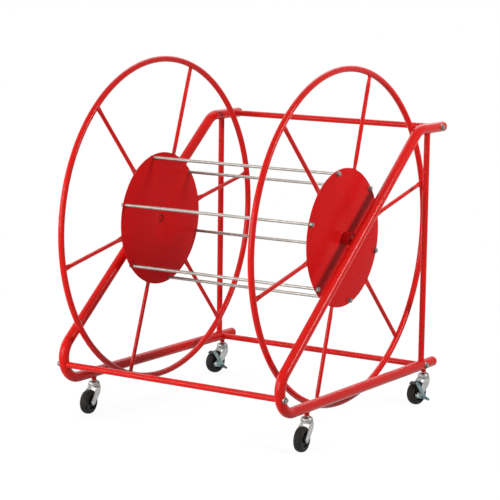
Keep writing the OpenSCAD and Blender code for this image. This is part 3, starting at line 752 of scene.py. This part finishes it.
def makeAxle():
    size = reelSizes
    axle = {"pin": 0.008, "pinEnd": 0.3955, "collar": 0.012, "collarEnd": 0.381, "flange": 0.017,
            "bushBore": 0.00805, "bushEnd": 0.3635, "bushFlange": 0.002, "thrustBore": 0.0082,
            "thrust": 0.3658, "thrustEnd": 0.3678}
    pin, collar, flange, thrust, thrustEnd = (
        axle[key] for key in ("pin", "collar", "flange", "thrust", "thrustEnd"))
    start, plate, hole = size["flangeX"], size["flangeX"] + size["discHalf"], size["discHole"]
    bushEnd, flangeEnd = axle["bushEnd"], axle["bushEnd"] + axle["bushFlange"]
    bushes, washers = [], []
    for name, side in flanks.items():
        facing = facingOut(side, 0)
        bushes.append(turnedPiece("bush", [
            (axle["bushBore"], plate, 0.0003), (hole, plate, 0), (hole, bushEnd, 0),
            (flange, bushEnd, 0.0003), (flange, flangeEnd, 0.0005), (axle["bushBore"], flangeEnd, 0.0003)],
            blackPlastic, facing, 64, closed=True))
        # the thrust washers took the hub's enamel, whose darker red is painted shade, and the inner ends of
        # the pins the plate's
        washers.append(turnedPiece("thrust", [
            (axle["thrustBore"], thrust, 0.0002), (flange, thrust, 0.0003), (flange, thrustEnd, 0.0005),
            (axle["thrustBore"], thrustEnd, 0.0002)], hubShadeEnamel, facing, 64, closed=True))
        # the rest of each pin takes dark chrome in place of zinc: painted shade for the hub's corner in the
        # diagonal tube's shadow
        pinPiece = turnedPiece(name + "AxlePin", [
            (0, start, 0), (pin, start, 0.0012), (pin, thrustEnd, 0), (collar, thrustEnd, 0.0005),
            (collar, axle["collarEnd"], 0), (pin, axle["collarEnd"], 0), (pin, axle["pinEnd"], 0.001),
            (0, axle["pinEnd"], 0)], darkChrome, facing, 64)
        pinPiece.data.materials.append(redSheet)
        for face in pinPiece.data.polygons:
            face.material_index = int(abs(face.center.x) < plate)
        setPiece(pinPiece, name + "_axle_pin", "frame")
    setPiece(joinPieces("hubBushes", bushes), "hub_bushes", "reel")
    setPiece(joinPieces("thrustWashers", washers), "thrust_washers", "frame")


makeFlanges()
makeTieRods()
makeAxle()
print("reel made")


# casters

casterSizes = {"wheelRadius": 0.0375, "trail": 0.032, "tyreHalf": 0.013, "coreRadius": 0.0265,
               "forkInner": 0.0151, "forkSheet": 0.0025, "crownTop": 0.0825, "legFoot": 0.0095,
               "crownRadius": 0.0200, "cupRim": 0.0842, "cupRadius": 0.0183, "casterHeight": 0.100}


def casterPlace(side, y, turn):
    return Matrix.Translation((side * frameSizes["railX"], y, 0)) @ \
        Matrix.Rotation(math.radians(turn), 4, "Z")


def makeStem(name, place):
    # threaded stem, neck, domed bearing cup and riveted kingpin, all one turned piece
    size = casterSizes
    rim, cup, top = size["cupRim"], size["cupRadius"], size["casterHeight"]
    foot, pin, race, stem, end = 0.0775, 0.0050, 0.0884, 0.0060, 0.122
    obj = turnedPiece(name + "Stem", [
        (0, foot, 0), (stem, foot, 0.0005), (0.0085, 0.0784, 0.0008), (pin, 0.0797, 0.0002), (pin, race, 0),
        (0.0152, race, 0.001), (0.0152, rim, 0.0002), (cup, rim, 0.0006), (cup, 0.0895, 0.003),
        (0.0165, 0.0945, 0.003), (0.0115, 0.0982, 0.003), (0.0085, 0.0988, 0.0008), (0.0082, top, 0.0003),
        (stem, top, 0), (stem, end, 0.0006), (0, end, 0)], darkChrome, place, 72)
    setPiece(obj, name + "_stem", "frame")


def alongStops(stops, value):
    # straight lines between stops, level beyond the ends
    for (low, first), (high, second) in zip(stops, stops[1:]):
        if value <= high:
            return first + (second - first) * max(0, (value - low) / (high - low))
    return stops[-1][1]


def forkSpan(x, z):
    # front and rear edge of the sheet: a round crown, legs that keep its width and narrow to a round foot
    size = casterSizes
    centre = Vector((-size["trail"], size["wheelRadius"]))
    crown = math.sqrt(size["crownRadius"] ** 2 - x * x)
    if z > size["crownTop"] - size["forkSheet"]:
        return -crown, crown
    if z < centre.y:
        half = math.sqrt(max(size["legFoot"] ** 2 - (z - centre.y) ** 2, 0))
        heel = 1 + 0.62 * (z - centre.y + size["legFoot"]) / size["legFoot"]
        return centre.x - half, centre.x + half * heel
    front = alongStops([(0.0375, -0.0415), (0.045, -0.0385), (0.060, -0.0280), (0.074, -0.0165),
                        (0.081, -crown)], z)
    rear = alongStops([(0.0375, -0.0166), (0.043, -0.0100), (0.050, -0.0025), (0.058, 0.0045),
                       (0.066, 0.0090), (0.074, 0.0108), (0.081, crown)], z)
    return front, rear


def makeFork(name, place, braked):
    # a pressed U of sheet: rows follow the sheet from one foot over the crown to the other
    size = casterSizes
    sheet, bend, across = size["forkSheet"], 0.0065, 12
    ear = {"boss": 0.0094, "pivot": (-0.050, 0.0345), "tip": 0.0065, "middle": (-0.040, 0.036),
           "inset": 0.0001}
    race = {"bore": 0.0051, "foot": 0.0812, "radius": 0.0145, "shoulder": 0.0845, "lip": 0.0136,
            "top": 0.0860}
    axle, middle, top = size["wheelRadius"], size["forkInner"] + sheet / 2, size["crownTop"] - sheet / 2
    foot = axle - size["legFoot"]
    heights = [foot + (axle - foot) * (1 - math.cos(math.pi / 2 * k / 9)) for k in range(10)]
    heights += [axle + (top - bend - axle) * k / 12 for k in range(1, 13)]
    rows = [(-middle, z) for z in heights]
    for k in range(1, 9):
        angle = math.pi / 2 * k / 8
        rows.append((-middle + bend * (1 - math.cos(angle)), top - bend + bend * math.sin(angle)))
    rows += [(-x, z) for x, z in rows[::-1]]
    points, faces = [], []
    for x, z in rows:
        front, rear = forkSpan(x, z)
        for k in range(across + 1):
            share = (1 - math.cos(math.pi * k / across)) / 2 if z < axle else k / across
            points.append((x, front + (rear - front) * share, z))
    for row in range(len(rows) - 1):
        for k in range(across):
            a = row * (across + 1) + k
            faces.append([a, a + 1, a + across + 2, a + across + 1])
    fork = tidyMesh(fromPoints(name + "Fork", points, faces, brightZinc))
    solid = fork.modifiers.new("sheet", "SOLIDIFY")
    solid.thickness = sheet
    solid.offset = 0
    solid.use_even_offset = True
    applyAll(fork)
    pieces = [fork]
    if braked:
        outline = unionOutline([((-size["trail"], axle), ear["boss"], ear["pivot"], ear["tip"])],
                               ear["middle"], 96)
        pieces.append(flatPiece("ear", outline, sheet - 2 * ear["inset"], brightZinc,
                                standingAt(size["forkInner"] + ear["inset"]), 0.0003))
    bevelled(fork, 0.00045, 50)
    tidyMesh(fork, sharpAngle=38)
    pieces.append(turnedPiece("race", [
        (race["bore"], race["foot"], 0), (race["radius"], race["foot"], 0),
        (race["radius"], race["shoulder"], 0.0012), (race["lip"], race["top"], 0.0006),
        (race["bore"], race["top"], 0)], brightZinc, None, 56, closed=True))
    fork = joinPieces(name + "Fork", pieces)
    fork.data.transform(place)
    setPiece(fork, name + "_fork", name + "_fork")


def makeWheel(name, hub):
    size = casterSizes
    half, outer, core, boss = size["tyreHalf"], size["wheelRadius"], size["coreRadius"], size["legFoot"]
    tyre = {"crown": 0.0085, "groove": 0.0006, "grooveIn": 0.0010, "grooveOut": 0.0022}
    wheel = {"bore": 0.00405, "bossHalf": 0.0148, "webBoss": 0.0052, "webRim": 0.0040, "rimHalf": 0.0120}
    tread = [(outer - tyre["crown"] + tyre["crown"] * math.sin(math.pi * k / 20) ** 0.8,
              -half * math.cos(math.pi * k / 20), 0) for k in range(1, 20)]
    wall = [(core, -half, 0.0008), (core + tyre["grooveIn"], -half, 0.0003),
            (core + 0.0016, -half + tyre["groove"], 0.0003), (core + tyre["grooveOut"], -half, 0.0003)]
    tyrePiece = turnedPiece(name + "Tyre", wall + tread + mirrored(wall), tyreRubber, hub, 96, closed=True)
    setPiece(tyrePiece, name + "_tyre", name + "_wheel")
    side = [(wheel["bore"], wheel["bossHalf"], 0.0003), (boss - 0.0008, wheel["bossHalf"], 0.0006),
            (boss, 0.0130, 0.0006), (boss, wheel["webBoss"], 0.0018),
            (core - 0.0045, wheel["webRim"], 0.0018), (core - 0.0030, 0.0118, 0.0006),
            (core, wheel["rimHalf"], 0.0004)]
    corePiece = turnedPiece(name + "WheelCore", side + mirrored(side), blackPlastic, hub, 72, closed=True)
    setPiece(corePiece, name + "_wheel_core", name + "_wheel")


def makeAxleBolt(name, hub):
    bolt = {"radius": 0.0040, "past": 0.0065, "headRadius": 0.0065, "nutFlats": 0.013, "nutHeight": 0.005}
    outer, shank = casterSizes["forkInner"] + casterSizes["forkSheet"], bolt["radius"]
    boltPiece = turnedPiece(name + "AxleBolt", [
        (0, -outer - bolt["past"], 0), (shank, -outer - bolt["past"], 0.0006), (shank, outer, 0),
        (bolt["headRadius"], outer, 0.0003), (0.0062, outer + 0.0012, 0.0008),
        (0.0040, outer + 0.0022, 0.0015), (0, outer + 0.0023, 0)], brightZinc, hub, 56)
    setPiece(boltPiece, name + "_axle_bolt", name + "_fork")
    nut = hexPiece(name + "AxleNut", bolt["nutFlats"], bolt["nutHeight"], shank, brightZinc,
                   hub @ Matrix.Translation((0, 0, -outer)) @ Matrix.Rotation(math.pi, 4, "X"))
    setPiece(nut, name + "_axle_nut", name + "_fork")


def makeBrake(name, place):
    # a pressed lever: side plate, curved shoe over the tread and a foot pedal that slopes outwards
    size = casterSizes
    lever = {"plateX": 0.0202, "sheet": 0.002, "pivot": (-0.050, 0.0345), "root": (-0.019, 0.0275),
             "pivotRadius": 0.0082, "rootRadius": 0.0078, "shoeRadius": 0.0062}
    shoe = {"angle": 121, "spread": 18, "gap": 0.0028, "sheet": 0.0022, "reach": 0.0087, "steps": 14}
    foot = {"length": 0.0206, "slope": 31, "roll": 38, "drop": 0.003, "lap": 0.001, "rib": 0.0006,
            "ribLean": 0.22}
    rivet = {"radius": 0.003, "headRadius": 0.0055, "gap": 0.0003, "dome": 0.0018}
    root, rootRadius, sheet, plateX = lever["root"], lever["rootRadius"], lever["sheet"], lever["plateX"]
    outerX, steps = plateX + sheet, shoe["steps"]
    centre = Vector((-size["trail"], size["wheelRadius"]))
    inside = size["wheelRadius"] + shoe["gap"]
    angle, half = math.radians(shoe["angle"]), math.radians(shoe["spread"] / 2)
    shoeSpot = centre + (inside + shoe["sheet"] / 2) * Vector((math.cos(angle), math.sin(angle)))
    outline = unionOutline([(lever["pivot"], lever["pivotRadius"], root, rootRadius),
                            (tuple(shoeSpot), lever["shoeRadius"], root, rootRadius)], root, 160)
    plate = flatPiece("plate", outline, sheet, blueZinc, standingAt(plateX), 0.0004)
    points, faces = [], []
    for x in (-shoe["reach"], outerX):
        for radius in (inside, inside + shoe["sheet"]):
            for k in range(steps + 1):
                turn = angle - half + 2 * half * k / steps
                points.append((x, centre.x + radius * math.cos(turn), centre.y + radius * math.sin(turn)))
    row = steps + 1
    for k in range(steps):
        for a, b in ((0, 1), (1, 3), (3, 2), (2, 0)):
            faces.append([a * row + k, a * row + k + 1, b * row + k + 1, b * row + k])
    faces += [[0, row, 3 * row, 2 * row], [steps, row + steps, 3 * row + steps, 2 * row + steps]]
    pad = bevelled(tidyMesh(fromPoints("pad", points, faces, blackPlastic)), 0.0005)
    tidyMesh(pad)
    # the pedal: a tapered tongue with three pressed ribs
    length = foot["length"]
    outline = rounded([(-0.0050, -0.0062, 0), (0.001, -0.0060, 0.004), (length - 0.004, 0.0004, 0.004),
                       (length, 0.0035, 0.003), (length - 0.001, 0.0092, 0.003), (0.002, 0.0062, 0.004),
                       (-0.0050, 0.0062, 0)], True, 6)
    pedalPlace = Matrix.Translation((plateX, root[0], root[1] - foot["drop"])) @ \
        Matrix.Rotation(math.radians(foot["slope"]), 4, "Y") @ \
        Matrix.Rotation(math.radians(foot["roll"]), 4, "X")
    pedal = flatPiece("pedal", [tuple(p) for p in outline if p.x > -foot["lap"]], sheet, blueZinc,
                      pedalPlace, 0.0005)
    ribs = []
    for reach, width in ((0.0075, 0.0040), (0.0115, 0.0036), (0.0155, 0.0030)):
        middle = reach * foot["ribLean"]
        line = [pedalPlace @ Vector((reach, middle + shift, sheet + rise))
                for shift, rise in ((-width, 0), (0, 0.0001), (width, 0))]
        ribs.append(tubeAlong("rib", line, foot["rib"], blueZinc, 12))
    brake = joinPieces(name + "BrakeLever", [plate, pad, pedal] + ribs)
    brake.data.transform(place)
    setPiece(brake, name + "_brake_lever", name + "_brake")
    inner, outer = size["forkInner"], size["forkInner"] + size["forkSheet"]
    radius, head = rivet["radius"], rivet["headRadius"]
    under, top = plateX - rivet["gap"], outerX + rivet["gap"]
    rivetPiece = turnedPiece(name + "BrakeRivet", [
        (0, inner, 0), (radius, inner, 0.0003), (radius, outer, 0), (head, outer, 0.0002),
        (head, under, 0.0003), (radius, under, 0), (radius, top, 0), (head, top, 0.0003),
        (0.0050, top + 0.0010, 0.0008), (0.0028, top + rivet["dome"], 0.001), (0, top + rivet["dome"], 0)],
        brightZinc, place @ Matrix.Translation((0, *lever["pivot"])) @ toX, 48)
    setPiece(rivetPiece, name + "_brake_rivet", name + "_fork")


def makeCasters():
    socket = {"bore": 0.0061, "radius": 0.0075, "lap": 0.003}
    foot, top = casterSizes["casterHeight"], frameSizes["baseZ"] - socket["lap"]
    sockets = []
    for name, (side, y, turn) in casters.items():
        place = casterPlace(side, y, turn)
        hub = place @ Matrix.Translation((0, -casterSizes["trail"], casterSizes["wheelRadius"])) @ toX
        braked = name.startswith("rear")
        makeStem(name, place)
        makeFork(name, place, braked)
        makeWheel(name, hub)
        makeAxleBolt(name, hub)
        if braked:
            makeBrake(name, place)
        sockets.append(turnedPiece("socket", [
            (socket["bore"], foot, 0.0003), (socket["radius"], foot, 0.0005), (socket["radius"], top, 0),
            (socket["bore"], top, 0)], redEnamel, place, 48, closed=True))
    setPiece(joinPieces("casterSockets", sockets), "caster_sockets", "frame")


makeCasters()
print("casters made")

# the CAD nodes that stay as they are get the bright zinc
for node in ("swivel_balls", "cross_tube_inserts"):
    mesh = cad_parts[node].data
    mesh.materials.clear()
    mesh.materials.append(brightZinc)


# camera, floor and light

def makeCamera():
    view = {"azimuth": 33.098, "elevation": 9.083, "roll": 0.756, "focal": 3.8426,
            "from": Vector((3.1783, -4.8700, 0.8602))}
    azimuth, elevation, roll = (math.radians(view[key]) for key in ("azimuth", "elevation", "roll"))
    back = Vector((math.sin(azimuth) * math.cos(elevation), -math.cos(azimuth) * math.cos(elevation),
                   math.sin(elevation)))
    right = Vector((math.cos(azimuth), math.sin(azimuth), 0))
    up = back.cross(right)
    rolledRight = math.cos(roll) * right + math.sin(roll) * up
    rolledUp = -math.sin(roll) * right + math.cos(roll) * up
    data = bpy.data.cameras.new("camera")
    data.sensor_width = 36
    data.lens = 36 * view["focal"]
    data.clip_end = 100
    camera = bpy.data.objects.new("camera", data)
    scene.collection.objects.link(camera)
    spot = view["from"] + Vector((0, 0, frameSizes["axleZ"]))
    camera.matrix_world = Matrix((
        (rolledRight.x, rolledUp.x, back.x, spot.x), (rolledRight.y, rolledUp.y, back.y, spot.y),
        (rolledRight.z, rolledUp.z, back.z, spot.z), (0, 0, 0, 1)))
    scene.camera = camera


def seenRays(tree):
    # 1 for rays that see the plain white, straight or in metal and glass, and 0 for rays that light
    rays = addNode(tree, "ShaderNodeLightPath").outputs
    direct = calculate(tree, "MAXIMUM", rays["Is Camera Ray"], rays["Is Glossy Ray"])
    return calculate(tree, "MAXIMUM", direct, rays["Is Transmission Ray"])


def makeFloor():
    # lit near the stand, so that its shadow shows, and plain white to the camera farther out
    floor = {"half": 40, "shade": 0.34, "roughness": 0.9, "glow": 1.37, "glowShare": 0.66,
             "shadowReach": (0.8, 2.2)}
    half = floor["half"]
    obj = fromPoints("floor", [(-half, -half, 0), (half, -half, 0), (half, half, 0), (-half, half, 0)],
                     [(0, 1, 2, 3)], None)
    material = bpy.data.materials.new("floorWhite")
    material.use_nodes = True
    tree = material.node_tree
    shader = tree.nodes["Principled BSDF"]
    setInputs(tree, shader, Base_Color=(floor["shade"],) * 3 + (1,), Roughness=floor["roughness"],
              Specular_IOR_Level=0.0)
    place = addNode(tree, "ShaderNodeTexCoord").outputs["Object"]
    distance = addNode(tree, "ShaderNodeVectorMath", {"operation": "LENGTH"}, i0=place).outputs["Value"]
    near, far = floor["shadowReach"]
    share, strength = (
        addNode(tree, "ShaderNodeMapRange", {"interpolation_type": "SMOOTHSTEP"}, Value=distance,
                From_Min=near, From_Max=far, To_Min=floor[key], To_Max=1.0) for key in ("glowShare", "glow"))
    glow = addNode(tree, "ShaderNodeEmission", Strength=strength)
    seen = calculate(tree, "MULTIPLY", seenRays(tree), share)
    mix = addNode(tree, "ShaderNodeMixShader", Fac=seen, i1=shader, i2=glow)
    setInputs(tree, tree.nodes["Material Output"], Surface=mix)
    obj.data.materials.append(material)


def makeWorld():
    studio = {"fill": 0.09, "backdrop": 1.0}
    world = bpy.data.worlds.new("studio")
    scene.world = world
    world.use_nodes = True
    tree = world.node_tree
    strength = addNode(tree, "ShaderNodeMapRange", Value=seenRays(tree), To_Min=studio["fill"],
                       To_Max=studio["backdrop"])
    setInputs(tree, tree.nodes["Background"], Color=(1, 1, 1, 1), Strength=strength)


def makeLamps():
    # an oblong box from the right, soft boxes in front and at the left front corner, a weak top light, and
    # soft boxes high behind and at the left: place, width, height, turn about its own axis, power
    lamps = {"key": ((2.64, 0.50, 1.89), 1.06, 0.72, 39.8, 58), "front": ((0.2, -4.2, 1.3), 2.4, 2.0, 0, 100),
             "corner": ((-1.8, -3.5, 1.3), 1.7, 2.0, 0, 72), "top": ((-0.6, 0.8, 4.6), 2.6, 2.6, 0, 10),
             "back": ((-1.3, 2.3, 3.3), 4.0, 3.4, 0, 84), "side": ((-3.6, -0.6, 1.4), 2.0, 2.0, 0, 38)}
    aim = Vector((0, 0, frameSizes["axleZ"]))
    for name, (spot, width, height, turn, power) in lamps.items():
        data = bpy.data.lights.new(name, "AREA")
        data.shape = "RECTANGLE"
        data.size = width
        data.size_y = height
        data.energy = power
        lamp = bpy.data.objects.new(name, data)
        scene.collection.objects.link(lamp)
        facing = (aim - Vector(spot)).to_track_quat("-Z", "Y").to_matrix().to_4x4()
        lamp.matrix_world = Matrix.Translation(spot) @ facing @ Matrix.Rotation(math.radians(turn), 4, "Z")


makeCamera()
makeFloor()
makeWorld()
makeLamps()
scene.view_settings.view_transform = "Standard"
print("camera, floor and light set")
